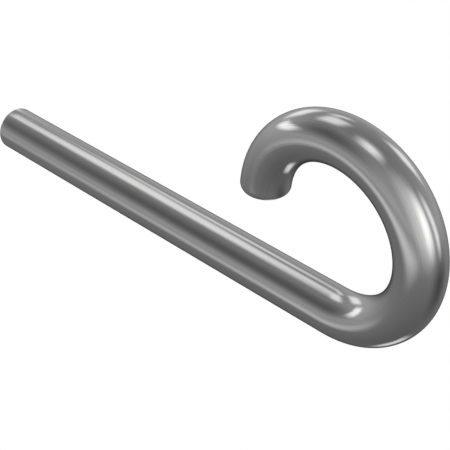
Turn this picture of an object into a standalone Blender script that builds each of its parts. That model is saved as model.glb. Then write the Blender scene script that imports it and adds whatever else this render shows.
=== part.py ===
"""Meat hook: one length of round stainless bar, a straight shank that ends in a curl.

The shank runs along +X from its cut end, whose centre is the origin. The curl lies in the XZ plane:
it turns up towards +Z, goes over the top and comes down to a blunt tip that stands over the shank.
Metres, +Z up.
"""

import math

import bmesh
import bpy
from mathutils import Matrix, Vector

# Driving dimensions, in metres
BAR_DIAMETER = 0.012
SHANK_LENGTH = 0.1211  # the straight bar, from its cut end to where the bend starts
BEND_INSIDE_RADIUS = 0.01665  # of the former that the bar is bent round
MOUTH_GAP = 0.0172  # clear height from the shank up to the flat of the tip
SHANK_EDGE_RADIUS = 0.0005  # rounding of the rim of the shank's cut end
TIP_EDGE_RADIUS = 0.0018  # rounding of the rim of the tip, which is blunted so that it can't snag

# Fineness of the mesh
BAR_SIDES = 44
STEPS_PER_QUARTER_TURN = 20
EDGE_STEPS = 4

# Stainless steel
STEEL_COLOUR = (0.58, 0.58, 0.575, 1.0)
STEEL_ROUGHNESS = 0.22

BAR_RADIUS = BAR_DIAMETER / 2
BEND_RADIUS = BEND_INSIDE_RADIUS + BAR_RADIUS
BEND_CENTRE = Vector((SHANK_LENGTH, 0, BEND_RADIUS))
QUARTER_TURN = math.radians(90)
BEND_STEP = QUARTER_TURN / STEPS_PER_QUARTER_TURN
SMOOTH_ANGLE = math.radians(40)


def clear_scene():
    for obj in list(bpy.data.objects):
        bpy.data.objects.remove(obj, do_unlink=True)


def bend_angle():
    """How far the bar is bent, in radians, for the tip to leave the mouth open.

    An angle a past the start of the bend, the inner edge of the tip's flat is
    BEND_INSIDE_RADIUS - (BEND_INSIDE_RADIUS + TIP_EDGE_RADIUS) * cos(a) above the shank. The tip is
    past the top of the curl, on the way down.
    """
    edge_radius = BEND_INSIDE_RADIUS + TIP_EDGE_RADIUS
    return 2 * math.pi - math.acos((BEND_INSIDE_RADIUS - MOUTH_GAP) / edge_radius)


def edge_profile(rounding):
    """Rounds the rim of a cut end.

    Gives each section's distance from the end and its radius, from the flat out to the full bar.
    """
    turns = [QUARTER_TURN * step / EDGE_STEPS for step in range(EDGE_STEPS + 1)]
    return [
        (rounding * (1 - math.cos(turn)), BAR_RADIUS - rounding * (1 - math.sin(turn)))
        for turn in turns
    ]


def sections():
    """Every section of the bar: its distance along the centreline, and its radius.

    The bend's sections are a whole part of a quarter turn apart, so that some fall where the curl
    is widest and highest. The last step before the tip's rounded edge takes what is left.
    """
    length = SHANK_LENGTH + BEND_RADIUS * bend_angle()
    tip_edge = [(length - distance, radius) for distance, radius in edge_profile(TIP_EDGE_RADIUS)]
    full_bend = bend_angle() - TIP_EDGE_RADIUS / BEND_RADIUS
    whole_steps = math.ceil(full_bend / BEND_STEP - 0.5)
    bend = [
        (SHANK_LENGTH + BEND_RADIUS * BEND_STEP * step, BAR_RADIUS) for step in range(whole_steps)
    ]
    return edge_profile(SHANK_EDGE_RADIUS) + bend + tip_edge[::-1]


def placement(distance):
    """Sets a circle square to the centreline, a distance along it from the shank's cut end."""
    facing_x = Matrix.Rotation(QUARTER_TURN, 4, "Y")
    if distance <= SHANK_LENGTH:
        return Matrix.Translation((distance, 0, 0)) @ facing_x
    turn = (distance - SHANK_LENGTH) / BEND_RADIUS
    to_centre = Matrix.Translation(BEND_CENTRE)
    turned = Matrix.Rotation(-turn, 4, "Y")
    return to_centre @ turned @ Matrix.Translation((0, 0, -BEND_RADIUS)) @ facing_x


def add_section(bar, distance, radius):
    """Adds one ring of the bar, and returns its edges."""
    ring = bmesh.ops.create_circle(
        bar, segments=BAR_SIDES, radius=radius, matrix=placement(distance)
    )
    corners = set(ring["verts"])
    return [edge for edge in bar.edges if corners.issuperset(edge.verts)]


def steel():
    material = bpy.data.materials.new("stainless_steel")
    material.use_nodes = True
    shader = material.node_tree.nodes["Principled BSDF"]
    shader.inputs["Base Color"].default_value = STEEL_COLOUR
    shader.inputs["Metallic"].default_value = 1.0
    shader.inputs["Roughness"].default_value = STEEL_ROUGHNESS
    return material


def add_hook_bar():
    """The whole bar: shank, bend and two flat cut ends with rounded rims."""
    bar = bmesh.new()
    rings = [add_section(bar, distance, radius) for distance, radius in sections()]
    for ring, next_ring in zip(rings, rings[1:]):
        bmesh.ops.bridge_loops(bar, edges=ring + next_ring)
    for end in (rings[0], rings[-1]):
        bmesh.ops.edgeloop_fill(bar, edges=end)
    bmesh.ops.recalc_face_normals(bar, faces=bar.faces)
    mesh = bpy.data.meshes.new("hook_bar")
    bar.to_mesh(mesh)
    bar.free()
    mesh.shade_smooth()
    mesh.set_sharp_from_angle(angle=SMOOTH_ANGLE)
    mesh.materials.append(steel())
    hook = bpy.data.objects.new("hook_bar", mesh)
    bpy.context.scene.collection.objects.link(hook)


clear_scene()
add_hook_bar()
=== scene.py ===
"""A meat hook, bent from one length of bright stainless bar, in a plain pale studio.

The hook is a single piece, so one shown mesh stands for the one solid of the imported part. Its sizes
are measured on that solid. Geometry Nodes turn a straight bar, round off the rims of its cut ends
and bend it, and every mark in its finish is laid out on the straight bar, as the drawing bench,
the polisher and the saw left it.
"""

import logging
import math
from dataclasses import dataclass
from enum import Enum
from typing import Mapping, Sequence

import bpy
import numpy as np
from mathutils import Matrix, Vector


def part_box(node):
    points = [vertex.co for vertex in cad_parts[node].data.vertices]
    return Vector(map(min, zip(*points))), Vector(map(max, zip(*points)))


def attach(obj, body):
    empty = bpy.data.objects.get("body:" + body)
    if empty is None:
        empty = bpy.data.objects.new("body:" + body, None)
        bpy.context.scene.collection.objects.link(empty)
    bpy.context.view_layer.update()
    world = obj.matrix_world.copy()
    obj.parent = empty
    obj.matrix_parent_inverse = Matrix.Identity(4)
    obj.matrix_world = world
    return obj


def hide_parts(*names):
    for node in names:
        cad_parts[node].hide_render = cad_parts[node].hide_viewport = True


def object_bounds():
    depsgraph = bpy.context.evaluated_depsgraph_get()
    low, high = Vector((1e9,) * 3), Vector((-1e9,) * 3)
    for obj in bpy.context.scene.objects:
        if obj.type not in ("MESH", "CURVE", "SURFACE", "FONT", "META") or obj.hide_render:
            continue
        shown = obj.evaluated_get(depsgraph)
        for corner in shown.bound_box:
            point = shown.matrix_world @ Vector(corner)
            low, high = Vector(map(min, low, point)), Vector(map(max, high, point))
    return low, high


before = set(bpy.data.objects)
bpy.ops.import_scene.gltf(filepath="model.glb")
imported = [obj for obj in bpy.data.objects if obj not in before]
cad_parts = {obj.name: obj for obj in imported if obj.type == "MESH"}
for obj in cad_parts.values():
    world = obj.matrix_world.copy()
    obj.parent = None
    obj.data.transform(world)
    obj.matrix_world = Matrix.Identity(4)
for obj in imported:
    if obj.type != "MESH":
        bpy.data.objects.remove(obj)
CAD_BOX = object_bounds()

LOG = logging.getLogger("meat_hook")
BODY = "root"
NODE = "hook_bar"
STRAIGHT_BAR = "straight_bar"
QUARTER_TURN = math.pi / 2
MILLIMETRE = 0.001
CLOSE = 0.00001  # metres or radians between corners that count as being at one place


class Field:
    """The value on one socket of a node tree, written in expressions as a number would be."""

    def __init__(self, graph: "Graph", socket: bpy.types.NodeSocket) -> None:
        """Wraps a socket of a graph."""
        self.graph = graph
        self.socket = socket

    def _math(self, operation: str, *operands: "Field | float") -> "Field":
        """Adds a Math node that works on the operands in their order."""
        return self.graph.node("ShaderNodeMath", {"operation": operation}, dict(enumerate(operands)))

    def __add__(self, other: "Field | float") -> "Field":
        """This value plus the other."""
        return self._math("ADD", self, other)

    def __radd__(self, other: float) -> "Field":
        """A number plus this value."""
        return self._math("ADD", other, self)

    def __sub__(self, other: "Field | float") -> "Field":
        """This value less the other."""
        return self._math("SUBTRACT", self, other)

    def __rsub__(self, other: float) -> "Field":
        """A number less this value."""
        return self._math("SUBTRACT", other, self)

    def __mul__(self, other: "Field | float") -> "Field":
        """This value times the other."""
        return self._math("MULTIPLY", self, other)

    def __rmul__(self, other: float) -> "Field":
        """A number times this value."""
        return self._math("MULTIPLY", other, self)

    def __truediv__(self, other: "Field | float") -> "Field":
        """This value over the other."""
        return self._math("DIVIDE", self, other)

    def __pow__(self, other: "Field | float") -> "Field":
        """This value to the power of the other."""
        return self._math("POWER", self, other)

    def sine(self) -> "Field":
        """The sine of this angle."""
        return self._math("SINE", self)

    def cosine(self) -> "Field":
        """The cosine of this angle."""
        return self._math("COSINE", self)

    def size(self) -> "Field":
        """This value without its sign."""
        return self._math("ABSOLUTE", self)

    def least(self, other: "Field | float") -> "Field":
        """The smaller of this value and the other."""
        return self._math("MINIMUM", self, other)

    def most(self, other: "Field | float") -> "Field":
        """The larger of this value and the other."""
        return self._math("MAXIMUM", self, other)

    def ramp(self, low: "Field | float", high: "Field | float", smooth: bool = False) -> "Field":
        """Goes from 0 where this value is low to 1 where it is high.

        Args:
            low: the value that gives 0.
            high: the value that gives 1. It may be under low, which turns the ramp round.
            smooth: eases the ramp in and out at its ends.

        Returns:
            A value from 0 to 1.
        """
        shape = "SMOOTHSTEP" if smooth else "LINEAR"
        places = {"Value": self, "From Min": low, "From Max": high}
        return self.graph.node("ShaderNodeMapRange", {"interpolation_type": shape}, places)


class Graph:
    """A node tree that is built by expressions."""

    def __init__(self, tree: bpy.types.NodeTree) -> None:
        """Starts on a tree, which may be empty."""
        self.tree = tree

    def node(
        self,
        kind: str,
        settings: Mapping[str, object] | None = None,
        inputs: Mapping[str | int, object] | None = None,
        output: str | int = 0,
    ) -> Field:
        """Adds one node.

        Args:
            kind: the node's type.
            settings: its properties, which are set before its inputs. "stops" is a ramp's list of
                places and greys.
            inputs: a value or a Field for each socket, by name or by number.
            output: the socket that is wanted, by name or by number.

        Returns:
            The wanted output.
        """
        made = self.tree.nodes.new(kind)
        for name, value in (settings or {}).items():
            if name == "stops":
                self._set_stops(made.color_ramp, value)
            else:
                setattr(made, name, value)
        self.feed(made, inputs or {})
        return Field(self, made.outputs[output])

    def feed(self, node: bpy.types.Node, inputs: Mapping[str | int, object]) -> None:
        """Gives a node's sockets their values.

        Args:
            node: a node of this tree.
            inputs: a value or a Field for each socket, by name or by number.
        """
        for key, value in inputs.items():
            if isinstance(value, Field):
                self.tree.links.new(value.socket, node.inputs[key])
            else:
                node.inputs[key].default_value = value

    @staticmethod
    def _set_stops(ramp: bpy.types.ColorRamp, stops: Sequence[tuple[float, float]]) -> None:
        """Gives a colour ramp its stops.

        Args:
            ramp: a new ramp, with Blender's two stops.
            stops: each stop's place and grey, in rising order of place.
        """
        while len(ramp.elements) < len(stops):
            ramp.elements.new(0.5)
        for element, (place, grey) in zip(ramp.elements, stops):
            element.position = place
            element.color = (grey, grey, grey, 1.0)

    def vector(self, x: Field | float, y: Field | float, z: Field | float) -> Field:
        """A vector of three values."""
        return self.node("ShaderNodeCombineXYZ", None, {0: x, 1: y, 2: z})

    def dot(self, vector: Field, axis: Vector) -> Field:
        """How far a vector reaches along an axis."""
        pair = {0: vector, 1: axis}
        return self.node("ShaderNodeVectorMath", {"operation": "DOT_PRODUCT"}, pair, "Value")

    def split(self, vector: Field) -> tuple[Field, Field, Field]:
        """The three values of a vector."""
        first = self.node("ShaderNodeSeparateXYZ", None, {0: vector})
        outputs = first.socket.node.outputs
        return first, Field(self, outputs[1]), Field(self, outputs[2])

    def noise(self, place: Field, scale: float, detail: float = 2.0, roughness: float = 0.5) -> Field:
        """Smooth noise from 0 to 1.

        Args:
            place: where the noise is read.
            scale: how many blotches there are to one unit of place.
            detail: how many finer octaves are laid over the first.
            roughness: how strong the finer octaves are.

        Returns:
            The noise, which is 0.5 on average.
        """
        inputs = {"Vector": place, "Scale": scale, "Detail": detail, "Roughness": roughness}
        return self.node("ShaderNodeTexNoise", None, inputs)


@dataclass(frozen=True)
class BarShape:
    """The sizes of the bent bar, in metres and radians."""

    radius: float
    shank: float
    bend_radius: float
    bend_angle: float
    shank_edge: float
    tip_edge: float

    @classmethod
    def measured(cls, node: str) -> "BarShape":
        """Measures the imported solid.

        The shank runs along +X from the origin and the curl turns up from it, so the box gives the
        bar's radius, the bend's radius and the shank's length. The corners that lie furthest round
        the bend's centre are the tip's flat. Each end's flat is smaller than the bar by the rounding
        of its edge.

        Args:
            node: the CAD node of the bar.

        Returns:
            The bar's sizes, with the bend's radius on the bar's centreline.
        """
        _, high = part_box(node)
        radius = high.y
        bend_radius = (high.z - radius) / 2
        shank = high.x - radius - bend_radius
        corners = np.array([corner.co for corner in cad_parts[node].data.vertices])
        across = corners[:, 1]
        ahead, below = corners[:, 0] - shank, bend_radius - corners[:, 2]
        turned = np.arctan2(ahead, below) % (2 * math.pi)
        on_bend = np.hypot(np.hypot(ahead, below) - bend_radius, across) < radius + CLOSE
        bend_angle = turned[on_bend & (turned < 2 * math.pi - CLOSE)].max()
        at_tip = on_bend & (turned > bend_angle - CLOSE)
        tip_flat = np.hypot(np.hypot(ahead, below) - bend_radius, across)[at_tip].max()
        at_shank_end = corners[:, 0] < CLOSE
        shank_flat = np.hypot(across, corners[:, 2])[at_shank_end].max()
        sizes = (radius, shank, bend_radius, bend_angle, radius - shank_flat, radius - tip_flat)
        return cls(*(float(size) for size in sizes))

    @property
    def length(self) -> float:
        """Length of the bar's centreline, from one cut face to the other."""
        return self.shank + self.bend_radius * self.bend_angle


@dataclass(frozen=True)
class RingCounts:
    """How finely the bar is cut into rings and sides."""

    sides: int = 96
    edge: int = 8
    shank: int = 40
    bend: int = 180

    @property
    def total(self) -> int:
        """The number of steps from one cut face to the other."""
        return 2 * self.edge + self.shank + self.bend


class BentBarTree:
    """The Geometry Nodes tree that turns, rounds and bends a bar, with a named input for each size."""

    SIZES = ("Bar radius", "Shank length", "Bend radius", "Bend angle", "Shank edge", "Tip edge")

    def __init__(self, rings: RingCounts) -> None:
        """Builds the tree.

        Args:
            rings: how finely the bar is cut into rings and sides.
        """
        self.rings = rings
        self.tree = bpy.data.node_groups.new("bent bar", "GeometryNodeTree")
        self.graph = Graph(self.tree)
        sockets = self.tree.interface
        self.identifiers = {
            name: sockets.new_socket(name, in_out="INPUT", socket_type="NodeSocketFloat").identifier
            for name in self.SIZES
        }
        steel = sockets.new_socket("Steel", in_out="INPUT", socket_type="NodeSocketMaterial")
        self.identifiers["Steel"] = steel.identifier
        sockets.new_socket("Geometry", in_out="OUTPUT", socket_type="NodeSocketGeometry")
        given = self.tree.nodes.new("NodeGroupInput")
        self.size = {name: Field(self.graph, given.outputs[name]) for name in self.SIZES}
        self.steel = Field(self.graph, given.outputs["Steel"])
        self._build()

    def _stations(self, ring: Field) -> tuple[Field, Field]:
        """Where each ring lies along the straight bar, and how large it is.

        Args:
            ring: the ring's number, from 0 at the shank's cut face.

        Returns:
            The distance along the bar and the ring's radius.
        """
        count, size = self.rings, self.size
        shank_edge, tip_edge = size["Shank edge"], size["Tip edge"]
        shank_starts = count.edge
        bend_starts = shank_starts + count.shank
        bend_ends = bend_starts + count.bend
        opening = ring.ramp(0.0, shank_starts) * QUARTER_TURN
        closing = ring.ramp(bend_ends, count.total) * QUARTER_TURN
        bend_length = size["Bend radius"] * size["Bend angle"]
        along = (
            shank_edge * (1 - opening.cosine())
            + ring.ramp(shank_starts, bend_starts) * (size["Shank length"] - shank_edge)
            + ring.ramp(bend_starts, bend_ends) * (bend_length - tip_edge)
            + tip_edge * closing.sine()
        )
        rounded_off = shank_edge * (1 - opening.sine()) + tip_edge * (1 - closing.cosine())
        return along, size["Bar radius"] - rounded_off

    def _bent(self, along: Field, across: Field, inward: Field) -> Field:
        """Where a point of the straight bar goes when the bar is bent.

        Args:
            along: the point's distance along the straight bar.
            across: its distance from the plane that the bar is bent in.
            inward: its distance from the centreline towards the bend's centre.

        Returns:
            The point on the bent bar.
        """
        bend_radius, shank = self.size["Bend radius"], self.size["Shank length"]
        turned = (along - shank).most(0.0) / bend_radius
        to_centre = bend_radius - inward
        return self.graph.vector(
            along.least(shank) + to_centre * turned.sine(),
            across,
            bend_radius - to_centre * turned.cosine(),
        )

    def _build(self) -> None:
        """Adds the nodes: a straight bar, each point's place on it, the bend and the steel."""
        graph = self.graph
        fineness = {"Vertices": self.rings.sides, "Side Segments": self.rings.total}
        blank = graph.node(
            "GeometryNodeMeshCylinder", {"fill_type": "NGON"}, fineness | {"Radius": 1.0, "Depth": 1.0}
        )
        outputs = blank.socket.node.outputs
        cut_faces = {0: Field(graph, outputs["Top"]), 1: Field(graph, outputs["Bottom"])}
        round_faces = graph.node("FunctionNodeBooleanMath", {"operation": "NOR"}, cut_faces)
        bar = graph.node(
            "GeometryNodeSetShadeSmooth", None, {"Geometry": blank, "Shade Smooth": round_faces}
        )
        across, inward, height = graph.split(graph.node("GeometryNodeInputPosition"))
        along, radius = self._stations((height + 0.5) * self.rings.total)
        bar = self._moved(bar, graph.vector(along, across * radius, inward * radius))
        straight = graph.node("GeometryNodeInputPosition")
        bar = graph.node(
            "GeometryNodeStoreNamedAttribute",
            {"data_type": "FLOAT_VECTOR", "domain": "POINT"},
            {"Geometry": bar, "Name": STRAIGHT_BAR, "Value": straight},
        )
        bar = self._moved(bar, self._bent(*graph.split(straight)))
        bar = graph.node("GeometryNodeRealizeInstances", None, {"Geometry": bar})
        bar = graph.node("GeometryNodeSetMaterial", None, {"Geometry": bar, "Material": self.steel})
        made = self.tree.nodes.new("NodeGroupOutput")
        self.tree.links.new(bar.socket, made.inputs["Geometry"])

    def _moved(self, geometry: Field, position: Field) -> Field:
        """The geometry with its points at a new position."""
        return self.graph.node(
            "GeometryNodeSetPosition", None, {"Geometry": geometry, "Position": position}
        )


@dataclass(frozen=True)
class StraightPlace:
    """Where a point of the steel lay on the straight bar, in millimetres, and how long that bar was."""

    graph: Graph
    along: Field
    across: Field
    inward: Field
    length: float

    def stretched(self, run: float) -> Field:
        """A place for noise whose blotches are drawn out along the bar.

        Args:
            run: how many times longer than wide the blotches are.

        Returns:
            The place, in millimetres across the bar.
        """
        return self.graph.vector(self.across, self.inward, self.along * (1 / run))

    def wrapped(self, run: float) -> Field:
        """A place for noise whose blotches are drawn out round the bar.

        Args:
            run: how many times wider round the bar than long the blotches are.

        Returns:
            The place, in millimetres along the bar.
        """
        return self.graph.vector(self.across * (1 / run), self.inward * (1 / run), self.along)

    def from_end(self) -> Field:
        """Distance along the bar from the nearer cut face."""
        return self.along.least(self.length - self.along)


class Polish(Enum):
    """How far a face of the steel has been worked, by its roughness."""

    BUFFED = 0.05
    DRAWN = 0.06
    SAWN = 0.34


@dataclass(frozen=True)
class DrawingLines:
    """Fine lengthwise lines that the drawing die left, and that the polisher all but took out.

    A little dark residue stays in them. Width and depth are in millimetres.
    """

    width: float = 0.3
    run: float = 160.0
    depth: float = 0.014
    gloss: float = 0.05
    tint: float = 0.12

    def pattern(self, place: StraightPlace) -> Field:
        """The lines, from 0 in a line's floor to 1 on the land between two."""
        return place.graph.noise(place.stretched(self.run), 1 / self.width, 3.0, 0.6)


@dataclass(frozen=True)
class BeltWaves:
    """Shallow waves from the polishing belt, longer than they are wide."""

    width: float = 2.6
    run: float = 9.0
    depth: float = 0.03

    def height(self, place: StraightPlace) -> Field:
        """The waves' height in millimetres."""
        return place.graph.noise(place.stretched(self.run), 1 / self.width, 1.0) * self.depth


@dataclass(frozen=True)
class Scratches:
    """Sparse hairlines from handling, thin and nearly lengthwise."""

    spacing: float = 1.4
    run: float = 26.0
    lean: float = 0.05
    hairline: float = 0.012
    patch: float = 7.0
    patch_run: float = 3.0
    patch_rim: tuple[float, float] = (0.52, 0.62)
    depth: float = 0.0016

    def mask(self, place: StraightPlace) -> Field:
        """Where the scratches are, from 0 to 1.

        A scratch is where a stretched noise passes through its middle. It shows only in the patches
        that another noise picks out.

        Args:
            place: the point's place on the straight bar.

        Returns:
            The scratches' mask.
        """
        graph = place.graph
        leaning = graph.vector(
            place.across + place.along * self.lean,
            place.inward - place.along * self.lean,
            place.along * (1 / self.run),
        )
        level = graph.noise(leaning, 1 / self.spacing, 1.0) - 0.5
        line = (level * level).ramp(self.hairline**2, 0.0)
        blotches = graph.noise(place.stretched(self.patch_run), 1 / self.patch, 1.0)
        return line * blotches.ramp(*self.patch_rim, smooth=True)


@dataclass(frozen=True)
class SaddleWear:
    """The inside of the curl, where loads ride: rubbed bright, with fine marks running crosswise."""

    turn: float = math.radians(92)
    reach: float = 22.0
    mark_width: float = 0.12
    mark_run: float = 60.0
    depth: float = 0.0013

    def mask(self, place: StraightPlace, shape: BarShape) -> Field:
        """How much a point is rubbed, from 0 to 1."""
        middle = (shape.shank + shape.bend_radius * self.turn) / MILLIMETRE
        away = (place.along - middle) / self.reach
        near = (away * away).ramp(1.0, 0.0, smooth=True)
        facing = place.inward.ramp(0.0, shape.radius / MILLIMETRE, smooth=True)
        return near * facing

    def marks(self, place: StraightPlace) -> Field:
        """The crosswise marks, from 0 to 1."""
        return place.graph.noise(place.wrapped(self.mark_run), 1 / self.mark_width, 2.0, 0.6)


@dataclass(frozen=True)
class SawMarks:
    """The nearly straight rows that the saw left on a cut face."""

    pitch: float = 0.42
    bow: float = 0.03
    wander: float = 0.35
    wander_scale: float = 0.8
    grit_scale: float = 9.0
    depth: float = 0.006
    edge: float = 0.004

    def mask(self, place: StraightPlace) -> Field:
        """1 on the two cut faces and 0 elsewhere."""
        return place.from_end().ramp(self.edge, 0.0)

    def height(self, place: StraightPlace) -> Field:
        """The rows' height in millimetres."""
        bowed = place.across + place.inward * place.inward * self.bow
        wander = place.graph.noise(place.stretched(1.0), self.wander_scale) * self.wander
        rows = ((bowed + wander) * (2 * math.pi / self.pitch)).sine()
        grit = place.graph.noise(place.stretched(1.0), self.grit_scale)
        return (rows + grit) * self.depth


@dataclass(frozen=True)
class BrightSteel:
    """Stainless bar, drawn and polished bright, then handled, hung and rubbed a little."""

    name: str = "bright_stainless_steel"
    reflectance: float = 0.60
    blue_share: float = 0.995
    mottle: float = 0.02
    cloud_width: float = 6.0
    cloud_run: float = 2.5
    patch_width: float = 4.0
    patch_run: float = 5.0
    patch_blur: float = 0.04
    scratch_blur: float = 0.12
    sawn_loss: float = 0.06
    lines: DrawingLines = DrawingLines()
    waves: BeltWaves = BeltWaves()
    scratches: Scratches = Scratches()
    wear: SaddleWear = SaddleWear()
    saw: SawMarks = SawMarks()

    def material(self, shape: BarShape) -> bpy.types.Material:
        """Makes the steel's material.

        Args:
            shape: the bar that it goes on, for the places of its ends and its bend.

        Returns:
            The material, which reads the straight bar's places from the mesh.
        """
        steel = bpy.data.materials.new(self.name)
        steel.use_nodes = True
        graph = Graph(steel.node_tree)
        straight = graph.node("ShaderNodeAttribute", {"attribute_name": STRAIGHT_BAR}, output="Vector")
        in_millimetres = graph.node(
            "ShaderNodeVectorMath", {"operation": "SCALE"}, {0: straight, "Scale": 1 / MILLIMETRE}
        )
        place = StraightPlace(graph, *graph.split(in_millimetres), shape.length / MILLIMETRE)
        lines = self.lines.pattern(place)
        scratched = self.scratches.mask(place)
        rubbed = self.wear.mask(place, shape)
        marks = self.wear.marks(place)
        sawn = self.saw.mask(place)
        skin = 1 - sawn
        bump = {
            "Height": self._height(place, lines, scratched, rubbed * marks) * skin
            + self.saw.height(place) * sawn,
            "Distance": MILLIMETRE,
            "Strength": 1.0,
        }
        shader = steel.node_tree.nodes["Principled BSDF"]
        graph.feed(
            shader,
            {
                "Base Color": self._colour(place, lines, sawn),
                "Metallic": 1.0,
                "Roughness": self._roughness(place, lines, scratched, rubbed, sawn),
                "Normal": graph.node("ShaderNodeBump", None, bump),
            },
        )
        return steel

    def _height(self, place: StraightPlace, lines: Field, scratched: Field, rubs: Field) -> Field:
        """Height of the bar's skin, in millimetres."""
        skin = lines * self.lines.depth + self.waves.height(place)
        return skin - scratched * self.scratches.depth - rubs * self.wear.depth

    def _colour(self, place: StraightPlace, lines: Field, sawn: Field) -> Field:
        """The steel's grey, darker in the lines, clouded by the polish and duller on the cut faces.

        Args:
            place: the point's place on the straight bar.
            lines: the drawing lines.
            sawn: 1 on a cut face.

        Returns:
            The colour.
        """
        graph = place.graph
        cloud = graph.noise(place.stretched(self.cloud_run), 1 / self.cloud_width) - 0.5
        streaks = (lines - 0.5) * self.lines.tint * (1 - sawn)
        grey = self.reflectance + cloud * (2 * self.mottle) + streaks - sawn * self.sawn_loss
        return graph.vector(grey, grey, grey * self.blue_share)

    def _roughness(
        self, place: StraightPlace, lines: Field, scratched: Field, rubbed: Field, sawn: Field
    ) -> Field:
        """How blurred the steel's reflections are.

        Args:
            place: the point's place on the straight bar.
            lines: the drawing lines.
            scratched: the scratches' mask.
            rubbed: how much the point is rubbed by loads.
            sawn: 1 on a cut face.

        Returns:
            The roughness.
        """
        patchy = place.graph.noise(place.stretched(self.patch_run), 1 / self.patch_width) - 0.5
        skin = (
            Polish.DRAWN.value
            + (lines - 0.5) * self.lines.gloss
            + patchy * self.patch_blur
            + scratched * self.scratch_blur
            - rubbed * (Polish.DRAWN.value - Polish.BUFFED.value)
        )
        return skin + (Polish.SAWN.value - skin) * sawn


@dataclass(frozen=True)
class MeatHook:
    """The whole hook: one bar, bent in one plane, with two cut ends."""

    shape: BarShape
    rings: RingCounts = RingCounts()
    steel: BrightSteel = BrightSteel()
    name: str = "bent_bar"

    def build(self) -> bpy.types.Object:
        """Makes the bar's mesh and dresses it.

        Returns:
            The finished bar, as a plain mesh at the origin.
        """
        bar = bpy.data.objects.new(self.name, bpy.data.meshes.new(self.name))
        bpy.context.scene.collection.objects.link(bar)
        tree = BentBarTree(self.rings)
        modifier = bar.modifiers.new("bend", "NODES")
        modifier.node_group = tree.tree
        values = {
            "Bar radius": self.shape.radius,
            "Shank length": self.shape.shank,
            "Bend radius": self.shape.bend_radius,
            "Bend angle": self.shape.bend_angle,
            "Shank edge": self.shape.shank_edge,
            "Tip edge": self.shape.tip_edge,
            "Steel": self.steel.material(self.shape),
        }
        for name, value in values.items():
            modifier[tree.identifiers[name]] = value
        depsgraph = bpy.context.evaluated_depsgraph_get()
        mesh = bpy.data.meshes.new_from_object(
            bar.evaluated_get(depsgraph), preserve_all_data_layers=True, depsgraph=depsgraph
        )
        bar.modifiers.remove(modifier)
        bar.data = mesh
        mesh.name = self.name
        bar.visible_glossy = False
        return bar


class Edge(Enum):
    """How a softbox's light falls off at its rim, as the share of its half width that the rim takes."""

    SOFT = 1.2
    MELTED = 2.0


@dataclass(frozen=True)
class Softbox:
    """A flat panel that faces the hook from far off, and adds light or, as a black flag, takes it.

    Azimuth 0 is the -Y side, and 90 is the +X side. Azimuth, elevation, width and height are in
    degrees, as seen from the hook.
    """

    name: str
    azimuth: float
    elevation: float
    width: float
    height: float
    light: float
    edge: Edge = Edge.MELTED

    def added_light(self, graph: Graph, direction: Field) -> Field:
        """What the panel adds to the light that comes from a direction.

        Args:
            graph: the world's node tree.
            direction: the direction, as a unit vector.

        Returns:
            The light, which is under 0 for a flag.
        """
        middle, right, above = self._axes()
        ahead = graph.dot(direction, middle)
        depth = ahead.most(0.01)
        beside = graph.dot(direction, right).size() / depth
        over = graph.dot(direction, above).size() / depth
        inside = self._within(beside, self.width) * self._within(over, self.height)
        return inside * ahead.ramp(0.0, 0.1) * self.light

    def _axes(self) -> tuple[Vector, Vector, Vector]:
        """The panel's middle as seen from the hook, and its own right and upward directions."""
        azimuth, elevation = math.radians(self.azimuth), math.radians(self.elevation)
        middle = Vector((math.sin(azimuth), -math.cos(azimuth), math.tan(elevation))).normalized()
        right = Vector((math.cos(azimuth), math.sin(azimuth), 0.0))
        return middle, right, right.cross(-middle)

    def _within(self, distance: Field, opening: float) -> Field:
        """Goes from 1 inside the panel to 0 outside, along one of its axes.

        Args:
            distance: distance from the panel's middle along the axis, with the panel at distance 1.
            opening: the panel's size along the axis, in degrees.

        Returns:
            A value from 0 to 1.
        """
        half = math.tan(math.radians(opening / 2))
        rim = half * self.edge.value / 2
        return distance.ramp(half + rim, half - rim, smooth=True)


@dataclass(frozen=True)
class StudioDome:
    """The studio round the hook: pale walls over a darker floor, and the softboxes."""

    walls: tuple[tuple[float, float], ...]
    softboxes: tuple[Softbox, ...]
    paper: float = 1.0
    darkest: float = 0.02

    def build(self) -> bpy.types.World:
        """Makes the world and gives it to the scene.

        The camera sees only plain white paper. The hook mirrors the walls and the softboxes.

        Returns:
            The world.
        """
        world = bpy.data.worlds.new("studio_dome")
        world.use_nodes = True
        graph = Graph(world.node_tree)
        direction = graph.node("ShaderNodeTexCoord", output="Generated")
        light = self._wall_light(graph, direction)
        for softbox in self.softboxes:
            light = light + softbox.added_light(graph, direction)
        seen = graph.node("ShaderNodeLightPath", output="Is Camera Ray")
        light = light.most(self.darkest)
        strength = light + (self.paper - light) * seen
        background = world.node_tree.nodes["Background"]
        graph.feed(background, {"Color": (1.0, 1.0, 1.0, 1.0), "Strength": strength})
        bpy.context.scene.world = world
        return world

    def _wall_light(self, graph: Graph, direction: Field) -> Field:
        """The walls' light, which changes only with the height that it comes from.

        Args:
            graph: the world's node tree.
            direction: the direction, as a unit vector.

        Returns:
            The light.
        """
        height = graph.split(direction)[2]
        stops = [((math.sin(math.radians(degrees)) + 1) / 2, grey) for degrees, grey in self.walls]
        return graph.node("ShaderNodeValToRGB", {"stops": stops}, {"Fac": (height + 1) / 2})


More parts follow.
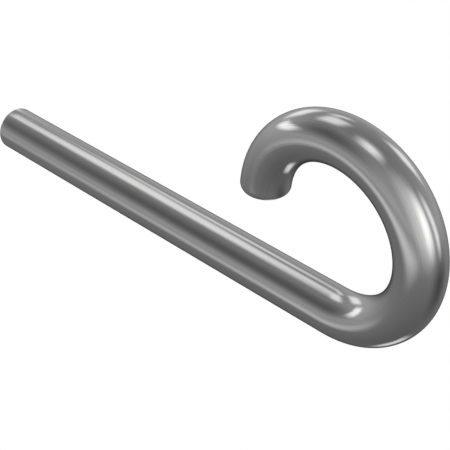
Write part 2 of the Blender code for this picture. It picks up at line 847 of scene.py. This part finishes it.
@dataclass(frozen=True)
class PaperFloor:
    """A plain pale paper floor under the hook, which only the camera sees."""

    size: float = 6.0
    clearance: float = 0.0005

    def build(self, hook_bottom: float) -> bpy.types.Object:
        """Lays the floor.

        Args:
            hook_bottom: the height of the hook's lowest point.

        Returns:
            The floor.
        """
        half, height = self.size / 2, hook_bottom - self.clearance
        ways = ((-1, -1), (1, -1), (1, 1), (-1, 1))
        corners = [(x * half, y * half, height) for x, y in ways]
        mesh = bpy.data.meshes.new("paper_floor")
        mesh.from_pydata(corners, [], [(0, 1, 2, 3)])
        mesh.materials.append(self._paper())
        floor = bpy.data.objects.new("paper_floor", mesh)
        floor.visible_diffuse = False
        floor.visible_glossy = False
        floor.visible_shadow = False
        bpy.context.scene.collection.objects.link(floor)
        return floor

    @staticmethod
    def _paper() -> bpy.types.Material:
        """White paper, lit so evenly that it takes no shadow."""
        paper = bpy.data.materials.new("white_paper")
        paper.use_nodes = True
        shader = paper.node_tree.nodes["Principled BSDF"]
        shader.inputs["Base Color"].default_value = (0.0, 0.0, 0.0, 1.0)
        shader.inputs["Specular IOR Level"].default_value = 0.0
        shader.inputs["Emission Color"].default_value = (1.0, 1.0, 1.0, 1.0)
        shader.inputs["Emission Strength"].default_value = 1.0
        return paper


@dataclass(frozen=True)
class StudioCamera:
    """A camera in front and to the right of the hook, looking down on it."""

    azimuth: float = 45.0
    elevation: float = 34.06
    distance: float = 0.31104
    lens: float = 101.125
    aim_past_middle: tuple[float, float, float] = (0.01029, 0.0, -0.01589)

    def build(self, box: tuple[Vector, Vector]) -> bpy.types.Object:
        """Makes the camera and gives it to the scene.

        Args:
            box: the hook's lowest and highest corners.

        Returns:
            The camera.
        """
        azimuth, elevation = math.radians(self.azimuth), math.radians(self.elevation)
        back = Vector((math.sin(azimuth), -math.cos(azimuth), math.tan(elevation))).normalized()
        aim = (box[0] + box[1]) / 2 + Vector(self.aim_past_middle)
        camera = bpy.data.objects.new("studio_camera", bpy.data.cameras.new("studio_camera"))
        camera.data.lens = self.lens
        camera.data.clip_start = 0.01
        camera.location = aim + back * self.distance
        camera.rotation_euler = back.to_track_quat("Z", "Y").to_euler()
        bpy.context.scene.collection.objects.link(camera)
        bpy.context.scene.camera = camera
        return camera


# Each height in degrees, and how bright the walls are there.
WALLS = (
    (-90, 0.15),
    (-30, 0.25),
    (0, 0.5),
    (90, 0.25),
)

SOFTBOXES = (
    Softbox("key", 65, 20, 50, 60, 0.5),
    Softbox("key core", 85, 15, 25, 40, 1.0),
    Softbox("high left box", 255, 50, 25, 20, 0.8, Edge.SOFT),
    Softbox("left back lamp", 225, 35, 15, 10, 0.6, Edge.SOFT),
    Softbox("left wall lamp", 245, 15, 25, 15, 0.8, Edge.SOFT),
    Softbox("left lamp", 285, 10, 30, 10, 1.0, Edge.SOFT),
    Softbox("low front lamp", 350, -25, 60, 15, 0.5),
    Softbox("top box", 0, 75, 20, 25, 1.0),
    Softbox("back box", 175, 25, 20, 25, 0.8, Edge.SOFT),
    Softbox("right back panel", 120, 10, 15, 40, 0.8, Edge.SOFT),
    Softbox("floor lamp", 200, -75, 15, 15, 0.8, Edge.SOFT),
    Softbox("left flag", 320, 25, 50, 40, -0.25),
    Softbox("low back flag", 225, -35, 45, 45, -0.2),
    Softbox("low right flag", 120, -25, 40, 50, -0.15),
)


def report(piece: bpy.types.Object) -> None:
    """Logs a piece's name and how many faces it has."""
    LOG.info("%s: %d faces", piece.name, len(piece.data.polygons))


def main() -> None:
    """Builds the hook and the studio round it."""
    logging.basicConfig(level=logging.INFO, format="%(name)s: %(message)s")
    StudioCamera().build(CAD_BOX)
    hook = MeatHook(BarShape.measured(NODE)).build()
    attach(hook, BODY)
    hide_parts(NODE)
    report(hook)
    floor = PaperFloor().build(CAD_BOX[0].z)
    report(floor)
    StudioDome(WALLS, SOFTBOXES).build()
    bpy.context.scene.view_settings.view_transform = "Standard"


if __name__ == "__main__":
    main()
